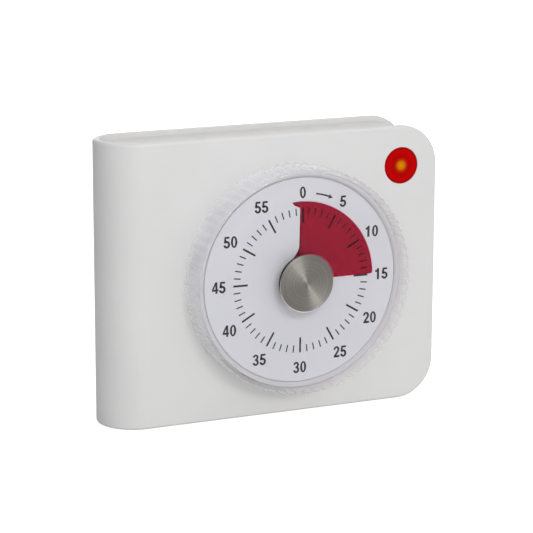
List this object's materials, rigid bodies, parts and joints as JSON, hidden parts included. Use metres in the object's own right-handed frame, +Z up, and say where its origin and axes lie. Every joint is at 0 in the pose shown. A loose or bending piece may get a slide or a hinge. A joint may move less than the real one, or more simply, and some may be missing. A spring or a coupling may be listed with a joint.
{
  "type": "visual countdown timer",
  "caption": "Desk timer with a flat rounded housing, a clear ribbed setting cover over a minute dial, a red film that grows through the dial's slit, an alarm lamp and a battery door.",
  "frame": {"origin": "on the surface that the timer stands on, under the middle of its bounding box", "axes": "+X to the user's right along the width, +Y away from the user along the dial's axis, +Z up"},
  "size_m": [0.14, 0.0464, 0.1125],
  "materials": {
    "white_plastic": "satin moulded",
    "waist_plastic": "satin moulded",
    "drum_plastic": "satin moulded",
    "dial_film": "printed film",
    "red_film": "matt film",
    "clear_plastic": "polished clear",
    "brushed_steel": "circular brushed",
    "spindle_steel": "turned",
    "screw_steel": "zinc plated",
    "spring_steel": "drawn wire",
    "brass": "turned",
    "gear_plastic": "moulded acetal",
    "movement_plastic": "moulded",
    "magnet": "sintered",
    "motor_iron": "punched sheet",
    "coil_plastic": "moulded",
    "copper": "enamelled wire",
    "red_lens": "clear red",
    "lamp": "clear resin",
    "black_plastic": "moulded",
    "board": "solder mask",
    "chip": "moulded",
    "tin": "plated",
    "cell_jacket": "plain wrapped"
  },
  "bodies": {
    "housing": {"front_shell": "white_plastic", "back_shell": "white_plastic", "waist_band": "waist_plastic", "housing_screws": "screw_steel", "dial_drum": "drum_plastic", "dial_plate": "dial_film", "spindle_bush": "brass", "stator": "motor_iron", "coil_core": "motor_iron", "coil_bobbin": "coil_plastic", "coil_winding": "copper", "movement_base": "movement_plastic", "movement_cover": "movement_plastic", "movement_screws": "screw_steel", "led_lens": "red_lens", "led": "lamp", "led_spacer": "black_plastic", "main_board": "board", "board_screws": "screw_steel", "control_chip": "chip", "crystal": "tin", "capacitor": "black_plastic", "buzzer": "black_plastic", "slide_switch": "tin", "battery_tray": "drum_plastic", "cell_upper": "cell_jacket", "cell_lower": "cell_jacket", "positive_contacts": "tin", "negative_contacts": "tin", "cell_springs": "tin"},
    "setting_cover": {"clear_cover": "clear_plastic", "cap_disc": "brushed_steel", "cover_hub": "drum_plastic", "spindle": "spindle_steel", "spindle_clip": "spring_steel", "centre_wheel": "gear_plastic", "clutch_spring": "spring_steel"},
    "red_film": {"red_disc": "red_film"},
    "third_arbor": {"third_wheel": "gear_plastic"},
    "second_arbor": {"second_wheel": "gear_plastic"},
    "rotor": {"rotor_magnet": "magnet", "rotor_pinion": "gear_plastic"},
    "battery_door": {"battery_door": "white_plastic"},
    "sound_knob": {"switch_knob": "black_plastic"}
  },
  "joints": [
    {"name": "dial_turn", "type": "hinge", "parent": "housing", "child": "setting_cover", "pos_m": [0.0053, -0.00685, 0.05625], "axis": [0, 1, 0], "range_deg": [-90, 270]},
    {"name": "red_climb", "type": "slide", "parent": "setting_cover", "child": "red_film", "axis": [0, -1, 0], "range_m": [-0.000225, 0.000675]},
    {"name": "third_spin", "type": "hinge", "parent": "housing", "child": "third_arbor", "pos_m": [-0.0097, 0.00315, 0.05625], "axis": [0, 1, 0], "range_deg": [-1350, 450]},
    {"name": "second_spin", "type": "hinge", "parent": "housing", "child": "second_arbor", "pos_m": [-0.0097, 0.00315, 0.06745], "axis": [0, 1, 0], "range_deg": [-2700, 8100]},
    {"name": "rotor_spin", "type": "hinge", "parent": "housing", "child": "rotor", "pos_m": [0, 0.00315, 0.07305], "axis": [0, 1, 0], "range_deg": [-48600, 16200]},
    {"name": "door_tilt", "type": "hinge", "parent": "housing", "child": "battery_door", "pos_m": [0.002, 0.02175, 0.03395], "axis": [1, 0, 0], "range_deg": [0, 90]},
    {"name": "sound_slide", "type": "slide", "parent": "housing", "child": "sound_knob", "axis": [1, 0, 0], "range_m": [-0.002, 0.002]}
  ],
  "couplings": [
    {"joint": "red_climb", "follows": "dial_turn", "m_per_rad": 0.00014324},
    {"joint": "third_spin", "follows": "dial_turn", "ratio": -5},
    {"joint": "second_spin", "follows": "dial_turn", "ratio": 30},
    {"joint": "rotor_spin", "follows": "dial_turn", "ratio": -180}
  ]
}
